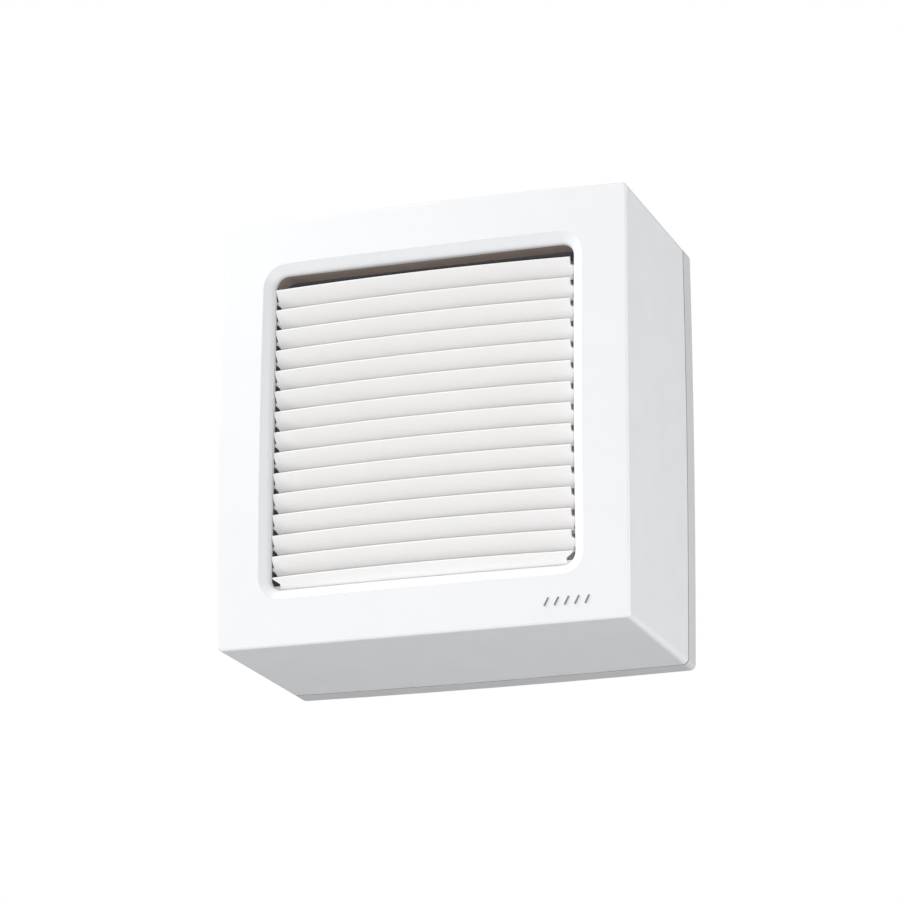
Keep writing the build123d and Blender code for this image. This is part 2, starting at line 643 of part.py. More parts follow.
GUARD_REAR = SHROUD_FRONT + SHROUD_FLANGE
with BuildPart() as fan_guard:
    with BuildSketch(facing(GUARD_REAR)):
        Circle(SHROUD_FLANGE_RADIUS)
        Circle(SHROUD_RADIUS - SHROUD_WALL, mode=Mode.SUBTRACT)
        for radius in range(18, 66, 9):
            with BuildSketch(mode=Mode.PRIVATE) as guard_ring:
                Circle(radius + 0.9)
                Circle(radius - 0.9, mode=Mode.SUBTRACT)
            add(guard_ring.sketch)
        with PolarLocations(40, 8):
            Rectangle(66, 2.2)
        Circle(9)
        with Locations(*FAN_SCREWS):
            Circle(1.8, mode=Mode.SUBTRACT)
    extrude(amount=GUARD)
save(fan_guard.part, "fan_guard")
screw_group("fan_screws", GUARD_REAR + GUARD, FAN_SCREWS, 3.2, 1.8, FAN_SCREW_RADIUS, 9)

# ---------------------------------------------------------------- filter

FILTER_HALF_WIDTH = BOX_HALF_WIDTH - BOX_WALL - 0.5
FILTER_HALF_HEIGHT = BOX_HALF_HEIGHT - BOX_WALL - 0.5
PAD_HALF_WIDTH = FILTER_HALF_WIDTH - FILTER_BORDER
PAD_HALF_HEIGHT = FILTER_HALF_HEIGHT - FILTER_BORDER

with BuildPart() as filter_frame:
    with BuildSketch(facing(FILTER_REAR)):
        RectangleRounded(2 * FILTER_HALF_WIDTH, 2 * FILTER_HALF_HEIGHT, 3)
        Rectangle(2 * PAD_HALF_WIDTH, 2 * PAD_HALF_HEIGHT, mode=Mode.SUBTRACT)
    extrude(amount=FILTER_DEPTH)
    with BuildSketch(facing(FILTER_REAR)):
        with GridLocations(PAD_HALF_WIDTH, 0, 3, 1):
            Rectangle(2.5, 2 * PAD_HALF_HEIGHT + 2)
        with GridLocations(0, PAD_HALF_HEIGHT, 1, 3):
            Rectangle(2 * PAD_HALF_WIDTH + 2, 2.5)
    extrude(amount=1.5)
save(filter_frame.part, "filter_frame")

with BuildPart() as filter_pad:
    with BuildSketch(facing(FILTER_REAR + 1.6)):
        Rectangle(2 * PAD_HALF_WIDTH - 0.2, 2 * PAD_HALF_HEIGHT - 0.2)
    extrude(amount=FILTER_DEPTH - 2.2)
save(filter_pad.part, "filter_pad")

# ---------------------------------------------------------------- louvre

tilt = radians(BLADE_TILT)
PIVOT_REACH = FRONT_EDGE_REACH - PIVOT_ALONG * sin(tilt) - PIVOT_BEHIND * cos(tilt)
TOP_PIVOT_Z = TOP_BLADE_Z - PIVOT_ALONG * cos(tilt) + PIVOT_BEHIND * sin(tilt)
PIVOT_HEIGHTS = [TOP_PIVOT_Z - i * BLADE_PITCH for i in range(BLADE_COUNT)]
CRANK_HEIGHT = TOP_PIVOT_Z - BLADE_COUNT * BLADE_PITCH
CRANK_DY = CRANK_LENGTH * cos(radians(CRANK_SET))
CRANK_DZ = -CRANK_LENGTH * sin(radians(CRANK_SET))
LINK_X = BLADE_RIGHT + LINK_GAP
END_BOSS = 4.0
CHORD_DIRECTION = (0, -sin(tilt), cos(tilt))
BELLY_DIRECTION = (0, -cos(tilt), -sin(tilt))
CRANK_PIN_END = LINK_X + LINK_THICKNESS + 0.4


def crank_arm(pivot_z):
    """Sketch in (Y, Z): a round-ended arm from the pivot to the crank pin."""
    arm = SlotCenterToCenter(CRANK_LENGTH, 2 * BLADE_BOSS_RADIUS, rotation=-CRANK_SET)
    return Pos(-PIVOT_REACH + CRANK_DY / 2, pivot_z + CRANK_DZ / 2) * arm


# Outlines cut from a blade's ends, as (x, distance along the chord in front of the pivot).
PAST_FRONT = 2 * PIVOT_ALONG
PAST_REAR = -PIVOT_ALONG
OUTSIDE = BLADE_EAR + 6
BLADE_CUTS = [
    [
        (BLADE_LEFT, PIVOT_ALONG),
        (BLADE_LEFT + END_TAPER, PAST_REAR),
        (-OUTSIDE, PAST_REAR),
        (-OUTSIDE, PIVOT_ALONG),
    ],
    [
        (BLADE_RIGHT + 0.3, PAST_FRONT),
        (BLADE_RIGHT, EAR_FRONT + 1.2),
        (BLADE_EAR, EAR_FRONT),
        (OUTSIDE, EAR_FRONT),
        (OUTSIDE, PAST_FRONT),
    ],
    [
        (BLADE_EAR, EAR_REAR),
        (BLADE_RIGHT, EAR_REAR - 0.6),
        (BLADE_RIGHT, PAST_REAR),
        (OUTSIDE, PAST_REAR),
        (OUTSIDE, EAR_REAR),
    ],
]
LAST_BLADE_CUTS = [
    [
        (side * LAST_BLADE_FRONT, PAST_FRONT),
        (side * LAST_BLADE_FRONT, PIVOT_ALONG),
        (side * LAST_BLADE_NOTCH, PIVOT_ALONG - 3),
        (side * LAST_BLADE_NOTCH, BLADE_BOSS_RADIUS + 0.2),
        (side * LAST_BLADE_END, BLADE_BOSS_RADIUS),
        (side * LAST_BLADE_END, PAST_REAR),
        (side * OUTSIDE, PAST_REAR),
        (side * OUTSIDE, PAST_FRONT),
    ]
    for side in (-1, 1)
]


def louvre_blade(name, pivot_z, clipped):
    """One blade with its end bosses, pivot pins, crank arm and crank pin."""
    arm = crank_arm(pivot_z)
    pivot = (-PIVOT_REACH, pivot_z)
    middle = (BLADE_LEFT + BLADE_EAR) / 2
    bowed = (middle, -PIVOT_REACH - BLADE_BOW * sin(tilt), pivot_z + BLADE_BOW * cos(tilt))
    with BuildPart() as blade:
        with BuildLine() as length_line:
            ThreePointArc((BLADE_LEFT, *pivot), bowed, (BLADE_EAR, *pivot))
        with BuildSketch(Plane(origin=length_line.line @ 0, x_dir=CHORD_DIRECTION, z_dir=(1, 0, 0))):
            with BuildLine(mode=Mode.PRIVATE) as camber_line:
                ThreePointArc(
                    (PIVOT_ALONG, PIVOT_BEHIND),
                    (PIVOT_ALONG - BLADE_CHORD / 2, PIVOT_BEHIND + BLADE_CAMBER),
                    (PIVOT_ALONG - BLADE_CHORD, PIVOT_BEHIND),
                )
            SlotArc(camber_line.wire(), BLADE_THICKNESS)
        sweep()
        with BuildSketch(Plane(origin=(0, *pivot), x_dir=(1, 0, 0), z_dir=BELLY_DIRECTION)):
            for corners in LAST_BLADE_CUTS if clipped else BLADE_CUTS:
                with BuildLine():
                    Polyline(*corners, close=True)
                make_face()
        extrude(amount=PIVOT_ALONG, both=True, mode=Mode.SUBTRACT)
        for end, rail_end, inwards in (
            (BLADE_LEFT, LEFT_RAIL_X - RAIL_THICKNESS + 0.5, END_BOSS),
            (BLADE_RIGHT, RIGHT_RAIL_X + RAIL_THICKNESS - 0.5, -END_BOSS),
        ):
            with BuildSketch(sideways(end)):
                with Locations(pivot):
                    Circle(BLADE_BOSS_RADIUS)
            extrude(amount=inwards)
            with BuildSketch(sideways(end)):
                with Locations(pivot):
                    Circle(PIVOT_PIN_RADIUS)
            extrude(amount=rail_end - end)
        with BuildSketch(sideways(BLADE_RIGHT - BLADE_BOSS)):
            add(arm)
        extrude(amount=BLADE_BOSS)
        with BuildSketch(sideways(BLADE_RIGHT)):
            with Locations((-PIVOT_REACH + CRANK_DY, pivot_z + CRANK_DZ)):
                Circle(PIVOT_PIN_RADIUS)
        extrude(amount=CRANK_PIN_END - BLADE_RIGHT)
    save(blade.part, name)


for index, height in enumerate(PIVOT_HEIGHTS):
    louvre_blade("louvre_blade_%02d" % (index + 1), height, index == BLADE_COUNT - 1)

LINK_PINS = [(-PIVOT_REACH + CRANK_DY, z + CRANK_DZ) for z in PIVOT_HEIGHTS + [CRANK_HEIGHT]]
with BuildPart() as link_bar:
    with BuildSketch(sideways(LINK_X)):
        with Locations((LINK_PINS[0][0], (LINK_PINS[0][1] + LINK_PINS[-1][1]) / 2)):
            SlotCenterToCenter(BLADE_COUNT * BLADE_PITCH, LINK_WIDTH, rotation=90)
        with Locations(*LINK_PINS):
            Circle(PIVOT_PIN_RADIUS + RUNNING_PLAY, mode=Mode.SUBTRACT)
    extrude(amount=LINK_THICKNESS)
save(link_bar.part, "link_bar")


def pivot_rail(name, inner_x, drive_hole):
    """Upright rail with a row of pivot bores, lying outside the blades' ends."""
    with BuildPart() as rail:
        with BuildSketch(sideways(inner_x)):
            with Locations((-(FRAME_REACH + FRAME_PLATE + RAIL_REACH) / 2, (RAIL_TOP_Z + FRAME_BOTTOM_Z) / 2)):
                Rectangle(RAIL_REACH - FRAME_REACH - FRAME_PLATE, RAIL_TOP_Z - FRAME_BOTTOM_Z)
            with Locations(*[(-PIVOT_REACH, z) for z in PIVOT_HEIGHTS]):
                Circle(PIVOT_PIN_RADIUS + RUNNING_PLAY, mode=Mode.SUBTRACT)
            if drive_hole:
                with Locations((-PIVOT_REACH, CRANK_HEIGHT)):
                    Circle(ACTUATOR_SHAFT_RADIUS + RUNNING_PLAY, mode=Mode.SUBTRACT)
        extrude(amount=RAIL_THICKNESS if inner_x > 0 else -RAIL_THICKNESS)
    save(rail.part, name)


pivot_rail("rail_left", LEFT_RAIL_X, False)
pivot_rail("rail_right", RIGHT_RAIL_X, True)

FRAME_MID_Z = (FRAME_TOP_Z + FRAME_BOTTOM_Z) / 2
FRAME_HEIGHT = FRAME_TOP_Z - FRAME_BOTTOM_Z
FRAME_BAR = 3.0
FRAME_SCREWS = [(x, z) for x in (-BOX_HALF_WIDTH - 4, BOX_HALF_WIDTH + 4) for z in (-70, 70)]
with BuildPart() as louvre_frame:
    with BuildSketch(facing(FRAME_REACH)):
        with Locations((0, FRAME_MID_Z)):
            RectangleRounded(2 * BOX_HALF_WIDTH, FRAME_HEIGHT, 4)
        with Locations(*FRAME_SCREWS):
            RectangleRounded(16, 14, 4)
        with Locations((0, (98.0 - 102.0) / 2)):
            RectangleRounded(184, 200, 6, mode=Mode.SUBTRACT)
        with Locations(*FRAME_SCREWS):
            Circle(1.7, mode=Mode.SUBTRACT)
    extrude(amount=FRAME_PLATE)
    bar_middle = (LEFT_RAIL_X + RIGHT_RAIL_X) / 2
    with BuildSketch(facing(FRAME_REACH + FRAME_PLATE)):
        with Locations(
            (bar_middle, FRAME_TOP_Z - FRAME_BAR / 2),
            (bar_middle, FRAME_BOTTOM_Z + FRAME_BAR / 2),
        ):
            Rectangle(RIGHT_RAIL_X - LEFT_RAIL_X, FRAME_BAR)
    extrude(amount=RAIL_REACH - FRAME_REACH - FRAME_PLATE)
save(louvre_frame.part, "louvre_frame")

# Lugs on the outside of the air box take the louvre frame's screws.
with BuildPart() as frame_lugs:
    with BuildSketch(facing(BULKHEAD_REACH + BULKHEAD)):
        with Locations(*FRAME_SCREWS):
            RectangleRounded(7.8, 10, 2)
            Circle(1.3, mode=Mode.SUBTRACT)
    extrude(amount=FRAME_REACH - BULKHEAD_REACH - BULKHEAD)
save(frame_lugs.part, "frame_lugs")
screw_group("louvre_frame_screws", FRAME_REACH + FRAME_PLATE, FRAME_SCREWS, 3.0, 2.0, 1.2, 12)

# ---------------------------------------------------------------- louvre actuator

ACTUATOR_X = RIGHT_RAIL_X + RAIL_THICKNESS
ACTUATOR_WIDTH = 20.0
ACTUATOR_REAR = FRAME_REACH + FRAME_PLATE + 0.2
ACTUATOR_FRONT = 130.0
drive_arm = crank_arm(CRANK_HEIGHT)
with BuildPart() as actuator_crank:
    with BuildSketch(sideways(BLADE_RIGHT - BLADE_BOSS)):
        add(drive_arm)
        with Locations((-PIVOT_REACH, CRANK_HEIGHT)):
            Circle(3)
    extrude(amount=BLADE_BOSS)
    with BuildSketch(sideways(BLADE_RIGHT)):
        with Locations((-PIVOT_REACH, CRANK_HEIGHT)):
            Circle(ACTUATOR_SHAFT_RADIUS)
    extrude(amount=ACTUATOR_X + 6 - BLADE_RIGHT)
    with BuildSketch(sideways(BLADE_RIGHT)):
        with Locations((-PIVOT_REACH + CRANK_DY, CRANK_HEIGHT + CRANK_DZ)):
            Circle(PIVOT_PIN_RADIUS)
    extrude(amount=CRANK_PIN_END - BLADE_RIGHT)
save(actuator_crank.part, "actuator_crank")

with BuildPart() as actuator_body:
    with BuildSketch(sideways(ACTUATOR_X)):
        with Locations((-(ACTUATOR_REAR + ACTUATOR_FRONT) / 2, CRANK_HEIGHT)):
            Rectangle(ACTUATOR_FRONT - ACTUATOR_REAR, 24)
    extrude(amount=ACTUATOR_WIDTH)
    fillet(actuator_body.edges().filter_by(Axis.X), 1.2)
    with BuildSketch(sideways(ACTUATOR_X)):
        with Locations((-PIVOT_REACH, CRANK_HEIGHT)):
            Circle(ACTUATOR_SHAFT_RADIUS + RUNNING_PLAY)
    extrude(amount=8, mode=Mode.SUBTRACT)
save(actuator_body.part, "actuator_body")

# ---------------------------------------------------------------- control gear

with BuildPart() as control_board:
    with BuildSketch(facing(BOARD_REACH)):
        with Locations((BOARD_X, BOARD_Z)):
            RectangleRounded(BOARD_WIDTH, BOARD_HEIGHT, 1.5)
        with Locations(*BOARD_POSTS):
            Circle(1.5, mode=Mode.SUBTRACT)
    extrude(amount=1.6)
save(control_board.part, "control_board")
screw_group("board_screws", BOARD_REACH + 1.6, BOARD_POSTS, 2.4, 1.6, 1.05, 8)

BOARD_FRONT = BOARD_REACH + 1.6
with BuildPart() as board_parts:
    with BuildSketch(facing(BOARD_FRONT)):
        with Locations((BOARD_X - 38, BOARD_Z + 2)):
            Rectangle(26, 22)
        with Locations((BOARD_X + 24, BOARD_Z - 4)):
            Rectangle(14, 14)
        with Locations((BOARD_X + 46, BOARD_Z + 4)):
            Rectangle(10, 18)
    extrude(amount=15)
    with BuildSketch(facing(BOARD_FRONT)):
        with Locations((BOARD_X - 12, BOARD_Z + 6), (BOARD_X - 12, BOARD_Z - 9), (BOARD_X + 4, BOARD_Z + 6)):
            Circle(5)
    extrude(amount=20)
save(board_parts.part, "board_parts")

with BuildPart() as terminal_block:
    with BuildSketch(facing(PLATE)):
        with Locations((CABLE_X + 2, BOARD_Z + 12)):
            Rectangle(24, 12)
    extrude(amount=14)
    with BuildSketch(facing(PLATE + 14)):
        with Locations((CABLE_X + 2, BOARD_Z + 12)):
            with GridLocations(7.2, 0, 3, 1):
                Circle(2.2)
    extrude(amount=-5, mode=Mode.SUBTRACT)
save(terminal_block.part, "terminal_block")

with BuildPart() as cable_clamp:
    with BuildSketch(facing(PLATE)):
        with Locations((CABLE_X, CABLE_Z - 16)):
            Rectangle(24, 7)
    extrude(amount=9)
    with BuildSketch(Plane.XY.offset(CABLE_Z - 30)):
        with Locations((CABLE_X, -PLATE - 3.5)):
            Circle(CABLE_RADIUS - 0.6)
    extrude(amount=30, mode=Mode.SUBTRACT)
save(cable_clamp.part, "cable_clamp")
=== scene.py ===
import json
import math

import bmesh
import bpy
from mathutils import Matrix, Vector


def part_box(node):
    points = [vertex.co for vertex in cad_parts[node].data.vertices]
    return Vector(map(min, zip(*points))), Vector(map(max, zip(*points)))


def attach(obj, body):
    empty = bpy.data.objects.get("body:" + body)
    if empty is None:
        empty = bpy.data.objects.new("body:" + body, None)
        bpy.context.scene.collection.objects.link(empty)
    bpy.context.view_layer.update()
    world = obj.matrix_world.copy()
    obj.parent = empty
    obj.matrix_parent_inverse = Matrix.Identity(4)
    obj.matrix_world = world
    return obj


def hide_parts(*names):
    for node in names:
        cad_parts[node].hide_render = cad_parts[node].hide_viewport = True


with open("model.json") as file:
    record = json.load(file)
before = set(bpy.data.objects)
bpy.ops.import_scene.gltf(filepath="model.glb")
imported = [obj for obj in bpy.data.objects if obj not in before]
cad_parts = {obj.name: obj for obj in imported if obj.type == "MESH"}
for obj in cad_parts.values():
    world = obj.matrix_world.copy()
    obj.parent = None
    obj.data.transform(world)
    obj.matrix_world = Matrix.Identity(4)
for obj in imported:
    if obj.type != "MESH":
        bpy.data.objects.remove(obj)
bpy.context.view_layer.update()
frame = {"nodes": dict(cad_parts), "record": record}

# Heat recovery unit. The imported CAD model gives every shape, size and place; this script adds the
# materials, the fine pieces that the CAD solids stand in for, the light and the camera.
# Everything is in metres in the CAD frame: +Z up, the front faces -Y, the wall is the plane y = 0.

NODES = frame["nodes"]
RECORD_COLOURS = {m["slot"]: tuple(m["base_color"][:3]) for m in frame["record"]["materials"]}


# ------------------------------------------------------------------ node helpers

class Shader:
    """A material under construction: a Principled shader and helpers that add nodes to it."""

    def __init__(self, name):
        self.material = bpy.data.materials.new(name)
        self.material.use_nodes = True
        self.tree = self.material.node_tree
        self.tree.nodes.clear()
        output = self.tree.nodes.new("ShaderNodeOutputMaterial")
        self.bsdf = self.tree.nodes.new("ShaderNodeBsdfPrincipled")
        self.link(self.bsdf.outputs["BSDF"], output.inputs["Surface"])
        self.coordinates = self.tree.nodes.new("ShaderNodeTexCoord").outputs["Object"]

    def link(self, source, target):
        self.tree.links.new(source, target)

    def fill(self, node, values):
        """Sets a node's inputs by name; a socket value links, anything else is a constant."""
        for key, value in values.items():
            socket = node.inputs[key.replace("_", " ")]
            if isinstance(value, bpy.types.NodeSocket):
                self.link(value, socket)
            else:
                socket.default_value = value

    def node(self, kind, **values):
        made = self.tree.nodes.new(kind)
        self.fill(made, values)
        return made

    def set(self, **values):
        """Sets or links inputs of the Principled shader."""
        self.fill(self.bsdf, values)

    def noise(self, scale, detail=3.0, roughness=0.55, stretch=(1, 1, 1)):
        """Noise in the object's own space; a stretch above 1 along an axis makes it finer there."""
        mapping = self.node("ShaderNodeMapping", Vector=self.coordinates, Scale=stretch)
        place = mapping.outputs[0]
        made = self.node("ShaderNodeTexNoise", Vector=place, Scale=scale, Detail=detail, Roughness=roughness)
        return made.outputs["Fac"]

    def ramp(self, factor, low=0.0, high=1.0, start=0.3, end=0.7):
        """Numbers from low to high as factor goes from start to end."""
        spans = {"From_Min": start, "From_Max": end, "To_Min": low, "To_Max": high}
        made = self.node("ShaderNodeMapRange", Value=factor, **spans)
        return made.outputs["Result"]

    def mix(self, factor, first, second):
        """Colour between first and second, each a socket or three numbers."""
        made = self.tree.nodes.new("ShaderNodeMix")
        made.data_type = "RGBA"
        self.link(factor, made.inputs["Factor"])
        for socket, value in ((made.inputs["A"], first), (made.inputs["B"], second)):
            if isinstance(value, bpy.types.NodeSocket):
                self.link(value, socket)
            else:
                socket.default_value = (*value, 1.0)
        return made.outputs["Result"]

    def bump(self, height, distance, strength, below=None):
        """A bump normal, on top of another one where below is given."""
        made = self.node("ShaderNodeBump", Height=height, Distance=distance, Strength=strength)
        if below is not None:
            self.link(below, made.inputs["Normal"])
        return made.outputs["Normal"]


def shade(colour, factor):
    """The colour made lighter or darker."""
    return tuple(min(1.0, channel * factor) for channel in colour)


# ------------------------------------------------------------------ materials

def moulded_plastic(name, colour, rough, grain=0.00002, mottle=0.03, coat=0.0):
    """Injection-moulded plastic: faint cloudiness, a fine eroded grain and slight sink waves."""
    s = Shader(name)
    cloud = s.noise(scale=14.0, detail=4.0)
    speck = s.noise(scale=900.0, detail=2.0)
    tone = s.mix(s.ramp(cloud), shade(colour, 1.0 - mottle), shade(colour, 1.0 + mottle))
    dusty = s.mix(s.ramp(speck, high=0.12, start=0.45, end=0.8), tone, shade(colour, 0.86))
    grain_height = s.noise(scale=2600.0, detail=2.0, roughness=0.6)
    waves = s.bump(s.noise(scale=22.0, detail=1.0), distance=0.00015, strength=0.35)
    s.set(
        Base_Color=dusty,
        Roughness=s.ramp(s.noise(scale=60.0), low=rough - 0.05, high=rough + 0.06),
        Normal=s.bump(grain_height, distance=grain, strength=0.5, below=waves),
        IOR=1.5,
    )
    if coat:
        s.set(Coat_Weight=coat, Coat_Roughness=0.18)
    return s.material


def metal(name, colour, rough):
    """Plain metal with a fine grain and dull patches."""
    s = Shader(name)
    patches = s.noise(scale=120.0, detail=4.0)
    s.set(
        Base_Color=s.mix(s.ramp(patches), shade(colour, 0.86), shade(colour, 1.08)),
        Metallic=1.0,
        Roughness=s.ramp(patches, low=rough - 0.06, high=rough + 0.12),
        Normal=s.bump(s.noise(scale=1500.0), distance=0.00002, strength=0.4),
    )
    return s.material


def foam(name, colour):
    """Closed-cell foam: round cells cut open at the surface, with painted shade in their hollows."""
    s = Shader(name)
    cells = s.node("ShaderNodeTexVoronoi", Vector=s.coordinates, Scale=1400.0)
    depth = s.ramp(cells.outputs["Distance"], start=0.0, end=0.6)
    s.set(
        # Painted shade: the colour is darker where the cells are deeper and lighter on their rims.
        Base_Color=s.mix(depth, shade(colour, 0.6), shade(colour, 1.9)),
        Roughness=0.95,
        Normal=s.bump(depth, distance=0.0002, strength=0.8),
    )
    return s.material


def ceramic(name, colour):
    """Unglazed extruded ceramic: chalky, with fine pores painted as darker specks of shade, and warmer fired
    patches.
    """
    s = Shader(name)
    fired = s.mix(s.ramp(s.noise(scale=35.0, detail=5.0)), shade(colour, 0.9), shade(colour, 1.08))
    # Painted shade: the pores are darker specks for the small holes in the ceramic.
    pores = s.ramp(s.noise(scale=2200.0), high=0.5, start=0.55, end=0.8)
    s.set(
        Base_Color=s.mix(pores, fired, shade(colour, 0.62)),
        Roughness=s.ramp(s.noise(scale=300.0), low=0.78, high=0.95),
        Normal=s.bump(s.noise(scale=1800.0, detail=4.0), distance=0.00008, strength=0.7),
    )
    return s.material


def circuit_board(name, colour):
    """Green lacquer over copper: raised tracks show as lighter lines."""
    s = Shader(name)
    upright = s.node("ShaderNodeMapping", Vector=s.coordinates, Rotation=(math.pi / 2, 0, 0))
    brick = s.node("ShaderNodeTexBrick", Vector=upright.outputs[0], Scale=190.0, Mortar_Size=0.06)
    tracks = s.ramp(brick.outputs["Fac"], start=0.2, end=0.8)
    cloud = s.mix(s.ramp(s.noise(scale=60.0)), shade(colour, 0.85), shade(colour, 1.15))
    s.set(
        Base_Color=s.mix(tracks, cloud, shade(colour, 2.1)),
        Roughness=s.ramp(s.noise(scale=200.0), low=0.22, high=0.34),
        Normal=s.bump(tracks, distance=0.00006, strength=0.6),
        Coat_Weight=0.4,
    )
    return s.material


def fleece(name, colour):
    """Filter fleece: tangled fibres with painted shade in the low gaps between them, and patches of darker
    dust.
    """
    s = Shader(name)
    fibres = s.noise(scale=1300.0, detail=6.0, roughness=0.75, stretch=(1, 1, 2.5))
    dust = s.noise(scale=90.0, detail=4.0)
    # Painted shade: the fibre noise is darker where it is low, in the gaps between the fibres.
    tangled = s.mix(s.ramp(fibres), shade(colour, 0.72), shade(colour, 1.05))
    s.set(
        Base_Color=s.mix(s.ramp(dust, high=0.35), tangled, shade(colour, 0.8)),
        Roughness=0.96,
        Sheen_Weight=0.35,
        Sheen_Roughness=0.5,
        Normal=s.bump(fibres, distance=0.0003, strength=0.8),
    )
    return s.material


# How each slot looks; its colour comes from the record.
LOOKS = {
    "white_shell": (moulded_plastic, dict(rough=0.46, mottle=0.008, coat=0.06)),
    # Painted shade: white_base is the shell's plastic given a darker tone, for the shade on the base near
    # the wall.
    "white_base": (moulded_plastic, dict(rough=0.42, mottle=0.01)),
    "louvre_white": (moulded_plastic, dict(rough=0.38, mottle=0.01)),
    "mark_grey": (moulded_plastic, dict(rough=0.55)),
    # Partly painted shade: black_foam makes the real foam seals, and also darkens the rear wall behind the
    # top blade, where there is only shade.
    "black_foam": (foam, dict()),
    "black_rubber": (moulded_plastic, dict(rough=0.7, grain=0.00005)),
    # Painted shade: brown_plastic colours the hood's underside above the top blade dark brown, for the
    # cover's white plastic in deep shade.
    "brown_plastic": (moulded_plastic, dict(rough=0.6, mottle=0.06)),
    "grey_plastic": (moulded_plastic, dict(rough=0.5)),
    "dark_plastic": (moulded_plastic, dict(rough=0.52, mottle=0.08)),
    "fan_plastic": (moulded_plastic, dict(rough=0.42, mottle=0.1)),
    "frame_plastic": (moulded_plastic, dict(rough=0.48)),
    "link_plastic": (moulded_plastic, dict(rough=0.36)),
    "board_parts": (moulded_plastic, dict(rough=0.3)),
    "terminal_plastic": (moulded_plastic, dict(rough=0.45)),
    "ceramic_core": (ceramic, dict()),
    "filter_fleece": (fleece, dict()),
    "motor_metal": (metal, dict(rough=0.42)),
    "bearing_steel": (metal, dict(rough=0.22)),
    "zinc_steel": (metal, dict(rough=0.34)),
    "board_green": (circuit_board, dict()),
}

MATERIALS = {
    slot_name: make(slot_name, RECORD_COLOURS[slot_name], **values)
    for slot_name, (make, values) in LOOKS.items()
}

for part in frame["record"]["subparts"]:
    thing = NODES[part["node"]]
    thing.data.materials.clear()
    thing.data.materials.append(MATERIALS[part["material_slot"]])


# ------------------------------------------------------------------ fine pieces

CHANNEL_PITCH = 0.0037
CHANNEL_SIDE = 0.0029
CHANNEL_RIM_GAP = 0.0029
CORE_RIM_WIDTH = 0.0056
CORE_RIM_BEVEL = 0.0006
CORE_RECESS = 0.0004
CORE_SIDES = 96

PLEATS = 34
PLEAT_STEPS = 12
FOLD_SHARPNESS = 0.97
FLEECE_HALF = 0.0009

BEADS = 5
BEAD_SPACING = 0.036
BEAD_RADIUS = 0.0009
BEAD_END_GAP = 0.001
BEAD_DEPTH = 0.0001
BEAD_STEPS = 120
BEAD_SIDES = 10
BEAD_MEAN_SWELL = 0.8
BEAD_SWELL = 0.2
BEAD_SWELL_TURN = 1.9

SMOOTH_ANGLE = math.radians(35)
SQUARE = ((-1, -1), (1, -1), (1, 1), (-1, 1))


def add_piece(name, mesh, slot_name, nodes=(), body="housing"):
    """A piece made here: it may stand for CAD nodes, and it rides on a body."""
    thing = bpy.data.objects.new(name, mesh)
    bpy.context.scene.collection.objects.link(thing)
    mesh.materials.append(MATERIALS[slot_name])
    if nodes:
        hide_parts(*nodes)
    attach(thing, body)
    return thing


def to_mesh(build, name):
    """The bmesh as a mesh with its faces turned outwards."""
    mesh = bpy.data.meshes.new(name)
    bmesh.ops.recalc_face_normals(build, faces=build.faces)
    build.to_mesh(mesh)
    build.free()
    return mesh


def add_loops(build, loops, closed_ends=True):
    """Skins a row of closed loops that have the same number of points."""
    rows = [[build.verts.new(point) for point in loop] for loop in loops]
    count = len(rows[0])
    for first, second in zip(rows, rows[1:]):
        for k in range(count):
            build.faces.new((first[k], first[(k + 1) % count], second[(k + 1) % count], second[k]))
    if closed_ends:
        build.faces.new(rows[0])
        build.faces.new(rows[-1])


def circle(radius, y):
    """Points round the duct axis."""
    turns = [2 * math.pi * k / CORE_SIDES for k in range(CORE_SIDES)]
    return [(radius * math.cos(turn), y, radius * math.sin(turn)) for turn in turns]


def square(x, y, z, side):
    """The corners of an upright square round a point."""
    return [(x + sx * side / 2, y, z + sz * side / 2) for sx, sz in SQUARE]


def honeycomb_core():
    """Round ceramic core: square through channels in thin webs, and a solid rim."""
    low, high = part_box("heat_core")
    radius = high[0]
    start = low[1]
    end = high[1]
    front = start + CORE_RECESS
    back = end - CORE_RECESS
    reach = int(radius / CHANNEL_PITCH) + 1
    build = bmesh.new()
    for i in range(-reach, reach + 1):
        for j in range(-reach, reach + 1):
            x = i * CHANNEL_PITCH
            z = j * CHANNEL_PITCH
            if math.hypot(x, z) > radius - CHANNEL_RIM_GAP:
                continue
            loops = (
                square(x, front, z, CHANNEL_PITCH),
                square(x, front, z, CHANNEL_SIDE),
                square(x, back, z, CHANNEL_SIDE),
                square(x, back, z, CHANNEL_PITCH),
            )
            add_loops(build, loops, closed_ends=False)
    rim = radius - CORE_RIM_WIDTH
    rim_loops = (
        circle(rim, front),
        circle(rim, start),
        circle(radius - CORE_RIM_BEVEL, start),
        circle(radius, start + CORE_RIM_BEVEL),
        circle(radius, end - CORE_RIM_BEVEL),
        circle(radius - CORE_RIM_BEVEL, end),
        circle(rim, end),
        circle(rim, back),
    )
    add_loops(build, rim_loops, closed_ends=False)
    return to_mesh(build, "heat_core_honeycomb")


def pleat_depth(phase):
    """A triangle wave with rounded folds, from -1 to 1."""
    return math.asin(FOLD_SHARPNESS * math.sin(phase)) / math.asin(FOLD_SHARPNESS)


def pleated_filter():
    """Fleece folded into upright pleats."""
    low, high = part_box("filter_pad")
    steps = PLEATS * PLEAT_STEPS
    middle = (low[1] + high[1]) / 2
    swing = (high[1] - low[1]) / 2 - FLEECE_HALF
    build = bmesh.new()
    loops = []
    for k in range(steps + 1):
        x = low[0] + (high[0] - low[0]) * k / steps
        y = middle + swing * pleat_depth(2 * math.pi * PLEATS * k / steps)
        front = y - FLEECE_HALF
        back = y + FLEECE_HALF
        loops.append([(x, front, low[2]), (x, front, high[2]), (x, back, high[2]), (x, back, low[2])])
    add_loops(build, loops)
    return to_mesh(build, "filter_pleats")


